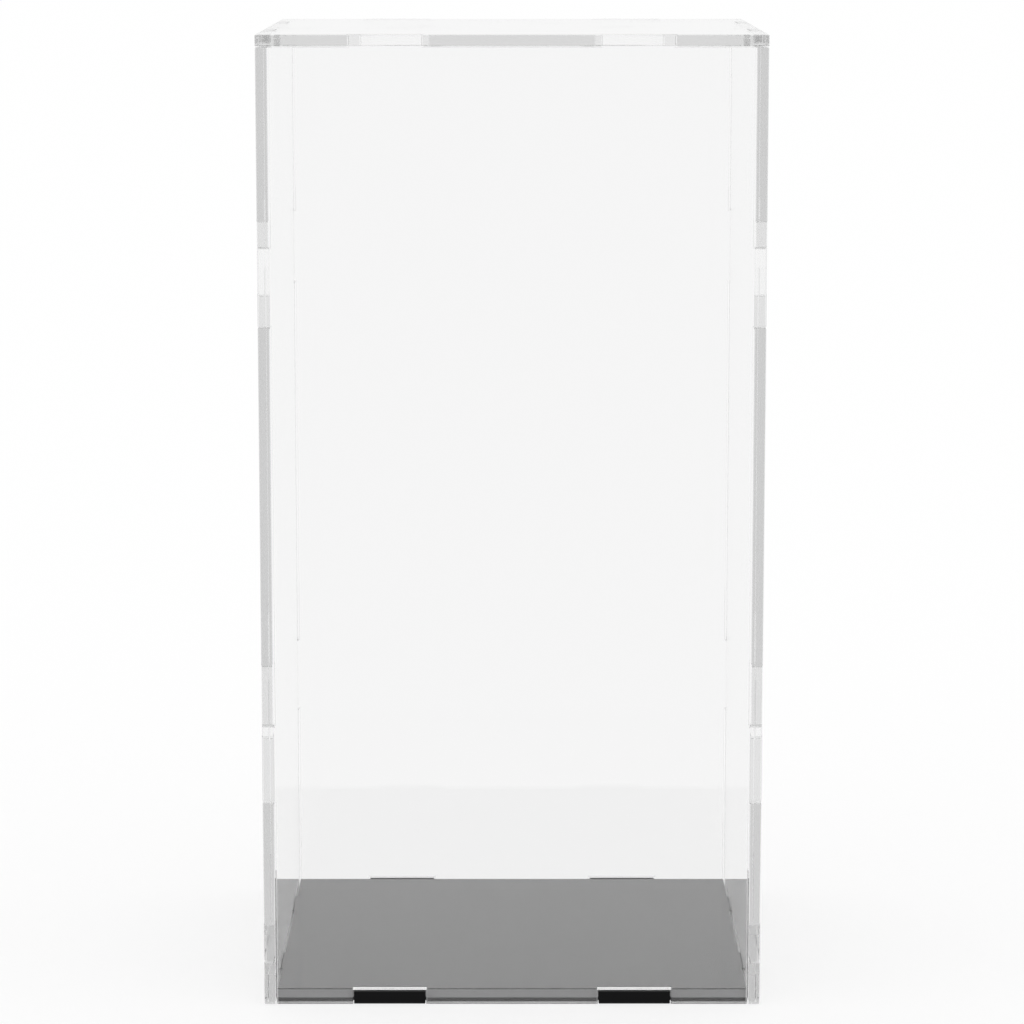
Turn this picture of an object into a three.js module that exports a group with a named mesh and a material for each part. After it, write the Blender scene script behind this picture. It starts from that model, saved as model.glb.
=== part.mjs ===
// Display case of six flat acrylic sheets joined by tabs and notches.
// Millimetres, +Z up, front at -Y, origin under the middle of the base.
import * as THREE from 'three';

// Outside of the assembled case
const width = 128.5;
const depth = 120;
const height = 250;

// Sheet thicknesses: five clear panels from one sheet, the black base from a heavier one
const clearGauge = 3;
const baseGauge = 3.5;

// Air left round every tab, and the edge break on every cut edge
const fit = 0.2;
const arris = 0.2;

// Tabs come in pairs: length along the seam, and distance of each tab from the middle of the seam
const frontTabLength = 18.5;
const frontTabOffset = 31.75;
const sideTabLength = 15.4;
const sideTabOffset = 29.5;
const uprightTabLength = 20;
const uprightTabOffset = 61.5;

// Faces and reaches that more than one panel is fitted to
const halfWidth = width / 2;
const halfDepth = depth / 2;
const middleHeight = height / 2;
const wallTop = height - clearGauge - fit;
const clearReach = clearGauge + fit;
const baseReach = baseGauge + fit;
const quarterTurn = Math.PI / 2;

// A pair of tabs on an edge, and the pair of notches that takes it
function tabs(length, offset, reach, middle = 0) {
  return { length, reach, centres: [middle - offset, middle + offset] };
}

function notches(length, offset, reach, middle = 0) {
  return tabs(length + 2 * fit, offset, -reach, middle);
}

// Points along one edge of a panel, in the order in which the outline runs
function edgePoints(from, to, outward, pair) {
  const along = to.clone().sub(from).normalize();
  const forwards = along.x + along.y > 0;
  const centres = forwards ? pair.centres : [...pair.centres].reverse();
  const step = outward.clone().multiplyScalar(pair.reach);
  const points = [from];
  for (const centre of centres) {
    const level = along.y === 0;
    const middle = level ? new THREE.Vector2(centre, from.y) : new THREE.Vector2(from.x, centre);
    const start = middle.clone().addScaledVector(along, -pair.length / 2);
    const end = middle.clone().addScaledVector(along, pair.length / 2);
    points.push(start, start.clone().add(step), end.clone().add(step), end);
  }
  return points;
}

// Outline of a panel: a rectangle between two corners, with a pair of tabs or notches on each edge
function panelShape(low, high, edges) {
  const lowRight = new THREE.Vector2(high.x, low.y);
  const highLeft = new THREE.Vector2(low.x, high.y);
  return new THREE.Shape([
    ...edgePoints(low, lowRight, new THREE.Vector2(0, -1), edges.bottom),
    ...edgePoints(lowRight, high, new THREE.Vector2(1, 0), edges.right),
    ...edgePoints(high, highLeft, new THREE.Vector2(0, 1), edges.top),
    ...edgePoints(highLeft, low, new THREE.Vector2(-1, 0), edges.left),
  ]);
}

// A sheet cut to an outline, lying on the XY plane with its thickness upwards
function sheet(shape, gauge) {
  const geometry = new THREE.ExtrudeGeometry(shape, {
    depth: gauge - 2 * arris,
    bevelEnabled: true,
    bevelThickness: arris,
    bevelSize: arris,
    bevelOffset: -arris,
    bevelSegments: 1,
  });
  return geometry.translate(0, 0, arris);
}

// Front and back walls stand between the side walls
function endWall() {
  const half = halfWidth - clearReach;
  const upright = tabs(uprightTabLength, uprightTabOffset, clearReach, middleHeight);
  const shape = panelShape(new THREE.Vector2(-half, 0), new THREE.Vector2(half, wallTop), {
    bottom: notches(frontTabLength, frontTabOffset, baseReach),
    right: upright,
    top: tabs(frontTabLength, frontTabOffset, clearReach),
    left: upright,
  });
  return sheet(shape, clearGauge);
}

// Side walls run the full depth and take the tabs of the front and back walls
function sideWall() {
  const upright = notches(uprightTabLength, uprightTabOffset, clearReach, middleHeight);
  const shape = panelShape(new THREE.Vector2(-halfDepth, 0), new THREE.Vector2(halfDepth, wallTop), {
    bottom: notches(sideTabLength, sideTabOffset, baseReach),
    right: upright,
    top: tabs(sideTabLength, sideTabOffset, clearReach),
    left: upright,
  });
  return sheet(shape, clearGauge);
}

// The top covers the whole footprint and drops over the tabs of all four walls
function topPlate() {
  const end = notches(frontTabLength, frontTabOffset, clearReach);
  const side = notches(sideTabLength, sideTabOffset, clearReach);
  const corner = new THREE.Vector2(halfWidth, halfDepth);
  const edges = { bottom: end, right: side, top: end, left: side };
  return sheet(panelShape(corner.clone().negate(), corner, edges), clearGauge);
}

// The base lies between the walls, and its tabs end flush with their outer faces
function basePlate() {
  const end = tabs(frontTabLength, frontTabOffset, clearReach);
  const side = tabs(sideTabLength, sideTabOffset, clearReach);
  const corner = new THREE.Vector2(halfWidth - clearReach, halfDepth - clearReach);
  const edges = { bottom: end, right: side, top: end, left: side };
  return sheet(panelShape(corner.clone().negate(), corner, edges), baseGauge);
}

const clearAcrylic = new THREE.MeshStandardMaterial({
  color: 0xf2f4f5,
  roughness: 0.05,
  metalness: 0,
  transparent: true,
  opacity: 0.25,
});
const blackAcrylic = new THREE.MeshStandardMaterial({ color: 0x0c0c0d, roughness: 0.08, metalness: 0 });

function panel(name, geometry, material) {
  const mesh = new THREE.Mesh(geometry, material);
  mesh.name = name;
  return mesh;
}

// Stands a wall up with its outer face at a distance along Y, facing away from the middle of the case
function stand(wall, outerFace) {
  wall.rotation.x = quarterTurn;
  wall.position.y = outerFace < 0 ? outerFace + clearGauge : outerFace;
  return wall;
}

const base = panel('base_plate', basePlate(), blackAcrylic);

const top = panel('top_plate', topPlate(), clearAcrylic);
top.position.z = height - clearGauge;

const ends = new THREE.Group();
ends.add(stand(panel('front_wall', endWall(), clearAcrylic), -halfDepth));
ends.add(stand(panel('back_wall', endWall(), clearAcrylic), halfDepth));

// In this turned group +Y is the left of the case
const sides = new THREE.Group();
sides.rotation.z = quarterTurn;
sides.add(stand(panel('left_wall', sideWall(), clearAcrylic), halfWidth));
sides.add(stand(panel('right_wall', sideWall(), clearAcrylic), -halfWidth));

const displayCase = new THREE.Group();
displayCase.add(base, ends, sides, top);

export default displayCase;
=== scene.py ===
"""Looks of the acrylic display case: clear cut sheets over a gloss black base, in a plain white studio."""

import math

import bmesh
import bpy
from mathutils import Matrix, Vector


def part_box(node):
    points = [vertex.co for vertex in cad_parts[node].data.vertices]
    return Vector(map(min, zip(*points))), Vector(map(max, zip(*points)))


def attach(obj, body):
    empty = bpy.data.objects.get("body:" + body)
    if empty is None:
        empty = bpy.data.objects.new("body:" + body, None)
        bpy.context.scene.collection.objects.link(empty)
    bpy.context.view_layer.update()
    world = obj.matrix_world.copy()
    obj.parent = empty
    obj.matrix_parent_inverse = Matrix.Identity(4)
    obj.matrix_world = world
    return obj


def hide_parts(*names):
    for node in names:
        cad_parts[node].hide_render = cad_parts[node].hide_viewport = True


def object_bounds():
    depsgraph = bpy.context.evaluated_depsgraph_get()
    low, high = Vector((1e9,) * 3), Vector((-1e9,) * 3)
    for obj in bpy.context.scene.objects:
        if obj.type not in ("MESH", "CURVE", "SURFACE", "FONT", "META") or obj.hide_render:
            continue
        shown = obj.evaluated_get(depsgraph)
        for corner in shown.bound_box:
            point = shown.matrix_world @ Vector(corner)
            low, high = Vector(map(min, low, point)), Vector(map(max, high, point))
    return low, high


def grey(level):
    """An opaque grey."""
    return (level, level, level, 1.0)


MM = 0.001
AXES = "xyz"

# Camera: just above the top of the case, square to the front, looking down at the middle of the front wall
IMAGE_SIDE_PX = 1024
SENSOR_MM = 36.0
FOCAL_PX = 3885.0
CAMERA_DISTANCE = 976 * MM
CAMERA_ABOVE_TOP = 35.5 * MM
CAMERA_PITCH_DEG = 9.09

# Studio: what the camera sees is white, what shows through and in the sheets is a little less
FLOOR_SIDE = 60.0
FLOOR_DROP = 0.2 * MM
FLOOR_COLOUR = grey(0.9)
SHADOW_SHARE = 0.25
WHITE = 1.0
SEEN_WHITE = 0.936
ROOM_LIGHT = 1.1

# Light guided along a sheet meets its faces many times
MOST_BOUNCES = 48

# Clear acrylic: the cut edges take a tint; on the outer cuts it differs for each axis that the thickness
# of a sheet lies along, as painted shade, darkest on the side walls and lightest on the top plate
ACRYLIC_IOR = 1.49
CLEAR_COLOUR = grey(0.99)
OUTER_TINTS_WITH_PAINTED_SHADE = [grey(0.64), grey(0.68), grey(0.72)]
INNER_COLOUR = grey(0.985)
SHORT_COLOUR = grey(0.88)
ARRIS_COLOUR = grey(0.95)
MIRROR_COLOUR = grey(0.88)

# Black acrylic: the saw-cut edge is painted pale grey as a painted reflection, is darker low down as
# painted shade, and changes between two heights
BLACK_IOR = 1.55
BLACK_COLOUR = (0.004, 0.004, 0.0043, 1.0)
SAWN_PAINTED_SHADE = (0.05, 0.05, 0.052, 1.0)
SAWN_PAINTED_REFLECTION = (0.4, 0.4, 0.405, 1.0)
SAWN_PAINTED_SHADE_FADE = (1.0 * MM, 1.2 * MM)
TAB_END_SPECULAR = 0.06
SAWN_SPECULAR = 0.1

# Ranges of roughness
POLISHED = (0.0, 0.03)
SMOOTH = (0.015, 0.05)
ROUGH = (0.28, 0.42)
MIRROR = (0.05, 0.12)
GLOSS = (0.03, 0.07)
TRIMMED = (0.35, 0.55)
SAWN = (0.5, 0.7)

# Noise: cycles per metre, levels of finer detail, and the range that most of it lies in
CASTING_WAVES = (25, 25, 25)
CASTING_DETAIL = 1.0
POLISH_PATCHES = (90, 90, 90)
POLISH_DETAIL = 4.0
MIRROR_GRAIN = (1500, 1500, 1500)
CUT_LINES_ALONG = 60
CUT_LINES_ACROSS = 2500
FINE_DETAIL = 2.0
NOISE_LOW = 0.3
NOISE_HIGH = 0.7

# Depth of relief
CASTING_RELIEF = 0.004 * MM
CLEAR_RELIEF = 0.0002 * MM
BLACK_RELIEF = 0.002 * MM

# Faces of a sheet by how they were made, and what tells them apart
SHEET_FACE, OUTER_CUT, INNER_CUT, SHORT_END, FOOT_CUT, FOOT_END, ARRIS = range(7)
SQUARE_ON = 0.99
SHORT_SIDE = 6 * MM
FOOT_HEIGHT = 6 * MM
SAME_PLANE = 0.01 * MM

# Limits for joining the triangles of a packed sheet to whole flat faces
SAME_POINT = 0.001 * MM
FLAT_ANGLE = math.radians(1.0)

# Clear sheets and the bodies that they ride on
CLEAR_PANELS = {
    "front_wall": "front",
    "back_wall": "back",
    "left_wall": "left",
    "right_wall": "right",
    "top_plate": "top",
}


def set_inputs(node, values):
    """Sets inputs of a node by name, with _ for each space."""
    for name, value in values.items():
        node.inputs[name.replace("_", " ")].default_value = value


def add_node(tree, kind, **values):
    """A new node of a kind, with its inputs set."""
    node = tree.nodes.new(kind)
    set_inputs(node, values)
    return node


def new_material(name, **values):
    """A material of one Principled shader with its inputs set, its node tree and the shader."""
    material = bpy.data.materials.new(name)
    material.use_nodes = True
    tree = material.node_tree
    shader = tree.nodes["Principled BSDF"]
    set_inputs(shader, values)
    return material, tree, shader


def stretched_noise(tree, scale, detail):
    """Noise over the object's own coordinates, with a scale for each axis in cycles per metre."""
    place = tree.nodes.new("ShaderNodeTexCoord")
    mapping = add_node(tree, "ShaderNodeMapping", Scale=scale)
    noise = add_node(tree, "ShaderNodeTexNoise", Scale=1.0, Detail=detail)
    tree.links.new(place.outputs["Object"], mapping.inputs["Vector"])
    tree.links.new(mapping.outputs["Vector"], noise.inputs["Vector"])
    return noise.outputs["Fac"]


def cut_lines(tree, axis):
    """Noise in fine lines that run across a sheet whose thickness lies along an axis."""
    scale = [CUT_LINES_ALONG if i == axis else CUT_LINES_ACROSS for i in range(3)]
    return stretched_noise(tree, scale, FINE_DETAIL)


def roughen(tree, shader, noise, finish):
    """Lets a noise carry the roughness of a shader through a range."""
    low, high = finish
    node = add_node(
        tree, "ShaderNodeMapRange", From_Min=NOISE_LOW, From_Max=NOISE_HIGH, To_Min=low, To_Max=high
    )
    tree.links.new(noise, node.inputs["Value"])
    tree.links.new(node.outputs["Result"], shader.inputs["Roughness"])


def bump(tree, shader, noise, relief):
    """Gives a shader a relief of a depth in metres."""
    node = add_node(tree, "ShaderNodeBump", Strength=1.0, Distance=relief)
    tree.links.new(noise, node.inputs["Height"])
    tree.links.new(node.outputs["Normal"], shader.inputs["Normal"])


def clear_sheet():
    """Polished face of cast sheet: clear, with the faint waviness of the casting."""
    material, tree, shader = new_material(
        "clear_sheet", Base_Color=CLEAR_COLOUR, Transmission_Weight=1.0, IOR=ACRYLIC_IOR, Roughness=0.0
    )
    bump(tree, shader, stretched_noise(tree, CASTING_WAVES, CASTING_DETAIL), CASTING_RELIEF)
    return material


def clear_cut(name, axis, colour, finish):
    """Cut edge of clear sheet, with fine lines across the thickness and a range of roughness."""
    material, tree, shader = new_material(
        f"{name}_{AXES[axis]}", Base_Color=colour, Transmission_Weight=1.0, IOR=ACRYLIC_IOR
    )
    lines = cut_lines(tree, axis)
    roughen(tree, shader, lines, finish)
    bump(tree, shader, lines, CLEAR_RELIEF)
    return material


def mirror_end():
    """Slot end at the foot of a wall, with a mirror finish that turns light back along the sheet."""
    material, tree, shader = new_material("mirror_end", Base_Color=MIRROR_COLOUR, Metallic=1.0)
    grain = stretched_noise(tree, MIRROR_GRAIN, FINE_DETAIL)
    roughen(tree, shader, grain, MIRROR)
    bump(tree, shader, grain, CLEAR_RELIEF)
    return material


def black_sheet():
    """Gloss face of black sheet, with faint uneven polish and the waviness of the casting."""
    material, tree, shader = new_material("black_sheet", Base_Color=BLACK_COLOUR, IOR=BLACK_IOR)
    roughen(tree, shader, stretched_noise(tree, POLISH_PATCHES, POLISH_DETAIL), GLOSS)
    bump(tree, shader, stretched_noise(tree, CASTING_WAVES, CASTING_DETAIL), CASTING_RELIEF)
    return material


def black_tab_end():
    """Trimmed end of a black tab: dark, with fine lines across the thickness."""
    material, tree, shader = new_material(
        "black_tab_end", Base_Color=BLACK_COLOUR, IOR=BLACK_IOR, Specular_IOR_Level=TAB_END_SPECULAR
    )
    lines = cut_lines(tree, AXES.index("z"))
    roughen(tree, shader, lines, TRIMMED)
    bump(tree, shader, lines, BLACK_RELIEF)
    return material


def black_edge_painted_light():
    """Saw-cut edge of black sheet: matt, painted pale grey as a painted reflection, and darker low down as
    painted shade.
    """
    material, tree, shader = new_material("black_edge_painted_light", IOR=BLACK_IOR, Specular_IOR_Level=SAWN_SPECULAR)
    place = tree.nodes.new("ShaderNodeTexCoord")
    split = tree.nodes.new("ShaderNodeSeparateXYZ")
    tree.links.new(place.outputs["Object"], split.inputs["Vector"])
    start, end = SAWN_PAINTED_SHADE_FADE
    rise = add_node(tree, "ShaderNodeMapRange", From_Min=start, From_Max=end)
    tree.links.new(split.outputs["Z"], rise.inputs["Value"])
    # Painted shade low down, rising to a painted reflection higher up
    shade = tree.nodes.new("ShaderNodeValToRGB")
    for element, colour in zip(shade.color_ramp.elements, (SAWN_PAINTED_SHADE, SAWN_PAINTED_REFLECTION)):
        element.color = colour
    tree.links.new(rise.outputs["Result"], shade.inputs["Fac"])
    tree.links.new(shade.outputs["Color"], shader.inputs["Base Color"])
    lines = cut_lines(tree, AXES.index("z"))
    roughen(tree, shader, lines, SAWN)
    bump(tree, shader, lines, BLACK_RELIEF)
    return material


def clear_finishes(axis, polished, mirror):
    """The finish of each kind of face of a clear sheet whose thickness lies along an axis."""
    return {
        SHEET_FACE: polished,
        # The outer cut's tint is partly painted shade that differs from sheet to sheet
        OUTER_CUT: clear_cut("outer_cut", axis, OUTER_TINTS_WITH_PAINTED_SHADE[axis], POLISHED),
        INNER_CUT: clear_cut("inner_cut", axis, INNER_COLOUR, SMOOTH),
        SHORT_END: clear_cut("short_cut", axis, SHORT_COLOUR, SMOOTH),
        FOOT_CUT: clear_cut("foot_cut", axis, INNER_COLOUR, ROUGH),
        FOOT_END: mirror,
        ARRIS: clear_cut("arris", axis, ARRIS_COLOUR, SMOOTH),
    }


def black_finishes():
    """The finish of each kind of face of the base: its tab ends are trimmed, and its other cuts are
    saw-cut with a painted reflection and painted shade.
    """
    gloss = black_sheet()
    sawn_painted_light = black_edge_painted_light()
    return {
        SHEET_FACE: gloss,
        OUTER_CUT: black_tab_end(),
        INNER_CUT: sawn_painted_light,
        SHORT_END: sawn_painted_light,
        FOOT_CUT: sawn_painted_light,
        FOOT_END: sawn_painted_light,
        ARRIS: gloss,
    }


def thickness_axis(node):
    """The axis along which a sheet is thinnest."""
    low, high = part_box(node)
    return min(range(3), key=lambda i: high[i] - low[i])


def longest_side(face):
    """The largest extent of a face along an axis."""
    places = [vert.co for vert in face.verts]
    return max(max(p[i] for p in places) - min(p[i] for p in places) for i in range(3))


def kind_of_face(face, across, low, high):
    """How a face of a sheet was made, from the way it looks, its size and where it lies."""
    axis = max(range(3), key=lambda i: abs(face.normal[i]))
    if abs(face.normal[axis]) < SQUARE_ON:
        return ARRIS
    if axis == across:
        return SHEET_FACE
    place = face.calc_center_median()
    at_foot = place.z < FOOT_HEIGHT
    if longest_side(face) < SHORT_SIDE:
        return FOOT_END if at_foot else SHORT_END
    if min(place[axis] - low[axis], high[axis] - place[axis]) < SAME_PLANE:
        return OUTER_CUT
    return FOOT_CUT if at_foot else INNER_CUT


def sheet_piece(solid, node, body, finishes):
    """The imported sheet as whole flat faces, each with the finish of how it was made."""
    low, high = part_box(node)
    across = thickness_axis(node)
    name = f"{node}_sheet"
    mesh = bpy.data.meshes.new(name)
    bm = bmesh.new()
    bm.from_mesh(solid.data)
    bmesh.ops.remove_doubles(bm, verts=bm.verts, dist=SAME_POINT)
    bmesh.ops.dissolve_limit(bm, angle_limit=FLAT_ANGLE, verts=bm.verts, edges=bm.edges)
    for face in bm.faces:
        face.smooth = False
        face.material_index = kind_of_face(face, across, low, high)
    bm.to_mesh(mesh)
    bm.free()
    for kind in sorted(finishes):
        mesh.materials.append(finishes[kind])
    piece = bpy.data.objects.new(name, mesh)
    bpy.context.scene.collection.objects.link(piece)
    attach(piece, body)
    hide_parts(node)


def make_pieces(solids):
    """The six sheets."""
    polished = clear_sheet()
    mirror = mirror_end()
    clear = [clear_finishes(axis, polished, mirror) for axis in range(3)]
    for node, body in CLEAR_PANELS.items():
        sheet_piece(solids[node], node, body, clear[thickness_axis(node)])
    sheet_piece(solids["base_plate"], "base_plate", "base", black_finishes())


def off_or_through(tree):
    """1 for rays that came off or through a sheet, and 0 for the rest."""
    path = tree.nodes.new("ShaderNodeLightPath")
    either = tree.nodes.new("ShaderNodeMath")
    either.operation = "MAXIMUM"
    tree.links.new(path.outputs["Is Glossy Ray"], either.inputs[0])
    tree.links.new(path.outputs["Is Transmission Ray"], either.inputs[1])
    return either.outputs["Value"]


def make_world():
    """White for the camera, a little less in and through the sheets, plain even light for the rest."""
    world = bpy.data.worlds.new("studio")
    bpy.context.scene.world = world
    world.use_nodes = True
    tree = world.node_tree
    background = tree.nodes["Background"]
    background.inputs["Color"].default_value = grey(1.0)
    room = add_node(tree, "ShaderNodeMix", A=ROOM_LIGHT, B=SEEN_WHITE)
    tree.links.new(off_or_through(tree), room.inputs["Factor"])
    path = tree.nodes.new("ShaderNodeLightPath")
    strength = add_node(tree, "ShaderNodeMix", B=WHITE)
    tree.links.new(path.outputs["Is Camera Ray"], strength.inputs["Factor"])
    tree.links.new(room.outputs["Result"], strength.inputs["A"])
    tree.links.new(strength.outputs["Result"], background.inputs["Strength"])


def mix_shaders(tree, first, second):
    """A mix of two shaders, whose Fac is the share of the second."""
    mix = tree.nodes.new("ShaderNodeMixShader")
    for shader, place in zip((first, second), mix.inputs[1:]):
        tree.links.new(shader, place)
    return mix


def floor_material():
    """White with a faint shadow, and the same white as the room's in and through the sheets."""
    material = bpy.data.materials.new("floor")
    material.use_nodes = True
    tree = material.node_tree
    tree.nodes.remove(tree.nodes["Principled BSDF"])
    white = add_node(tree, "ShaderNodeEmission", Strength=WHITE)
    lit = add_node(tree, "ShaderNodeBsdfDiffuse", Color=FLOOR_COLOUR)
    shadowed = mix_shaders(tree, white.outputs["Emission"], lit.outputs["BSDF"])
    shadowed.inputs["Fac"].default_value = SHADOW_SHARE
    seen = add_node(tree, "ShaderNodeEmission", Strength=SEEN_WHITE)
    surface = mix_shaders(tree, shadowed.outputs["Shader"], seen.outputs["Emission"])
    tree.links.new(off_or_through(tree), surface.inputs["Fac"])
    tree.links.new(surface.outputs["Shader"], tree.nodes["Material Output"].inputs["Surface"])
    return material


def make_floor():
    """A plain white floor, just under the case."""
    half = FLOOR_SIDE / 2
    mesh = bpy.data.meshes.new("floor")
    corners = [(-half, -half), (half, -half), (half, half), (-half, half)]
    mesh.from_pydata([(x, y, -FLOOR_DROP) for x, y in corners], [], [(0, 1, 2, 3)])
    mesh.materials.append(floor_material())
    floor = bpy.data.objects.new("floor", mesh)
    bpy.context.scene.collection.objects.link(floor)


def make_camera(low, high):
    """A camera in front of the middle of the case."""
    data = bpy.data.cameras.new("camera")
    data.sensor_width = SENSOR_MM
    data.lens = SENSOR_MM * FOCAL_PX / IMAGE_SIDE_PX
    camera = bpy.data.objects.new("camera", data)
    camera.location = (0, low.y - CAMERA_DISTANCE, high.z + CAMERA_ABOVE_TOP)
    camera.rotation_euler = (math.radians(90 - CAMERA_PITCH_DEG), 0, 0)
    bpy.context.scene.collection.objects.link(camera)
    bpy.context.scene.camera = camera


def set_view():
    """Plain colour handling, and enough bounces for light inside the sheets."""
    scene = bpy.context.scene
    scene.view_settings.view_transform = "Standard"
    scene.cycles.max_bounces = MOST_BOUNCES
    scene.cycles.glossy_bounces = MOST_BOUNCES
    scene.cycles.transmission_bounces = MOST_BOUNCES


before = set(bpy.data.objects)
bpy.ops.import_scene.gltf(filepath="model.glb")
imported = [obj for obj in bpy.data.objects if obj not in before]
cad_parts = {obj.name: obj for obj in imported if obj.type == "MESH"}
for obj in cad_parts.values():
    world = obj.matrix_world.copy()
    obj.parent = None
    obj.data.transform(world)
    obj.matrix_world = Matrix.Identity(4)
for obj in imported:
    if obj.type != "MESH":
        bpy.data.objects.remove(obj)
cad_low, cad_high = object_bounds()
set_view()
make_world()
make_floor()
make_camera(cad_low, cad_high)
make_pieces(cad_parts)
